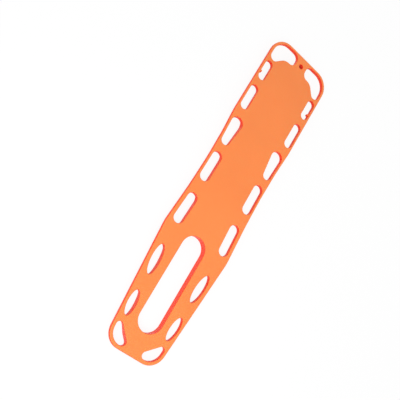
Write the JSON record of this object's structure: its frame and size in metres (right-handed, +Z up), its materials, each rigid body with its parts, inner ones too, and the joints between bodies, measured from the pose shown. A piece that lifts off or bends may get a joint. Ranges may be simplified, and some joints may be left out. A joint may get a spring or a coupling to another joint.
{
  "type": "spine board",
  "caption": "Long moulded plastic spine board with hand holes down both sides, a leg slot, open head and foot corners and a hanging hole.",
  "frame": {"origin": "under the middle of the board, on the plane of the keel's underside, which it lies on", "axes": "+Y to the head end, +Z up through the deck, +X to the right of the board"},
  "size_m": [0.4128, 1.84, 0.045],
  "materials": {
    "board_plastic": "satin moulded polyethylene",
    "plug_plastic": "satin moulded polyethylene",
    "foam": "rigid closed-cell polyurethane foam",
    "tube_laminate": "pultruded glass fibre",
    "cap_plastic": "satin moulded"
  },
  "bodies": {
    "root": {"shell": "board_plastic", "foam_core": "foam", "fill_plug": "plug_plastic", "vent_plug_head": "plug_plastic", "vent_plug_foot": "plug_plastic", "stiffener_tube_left": "tube_laminate", "tube_cap_head_left": "cap_plastic", "tube_cap_foot_left": "cap_plastic", "stiffener_tube_right": "tube_laminate", "tube_cap_head_right": "cap_plastic", "tube_cap_foot_right": "cap_plastic"}
  },
  "joints": []
}
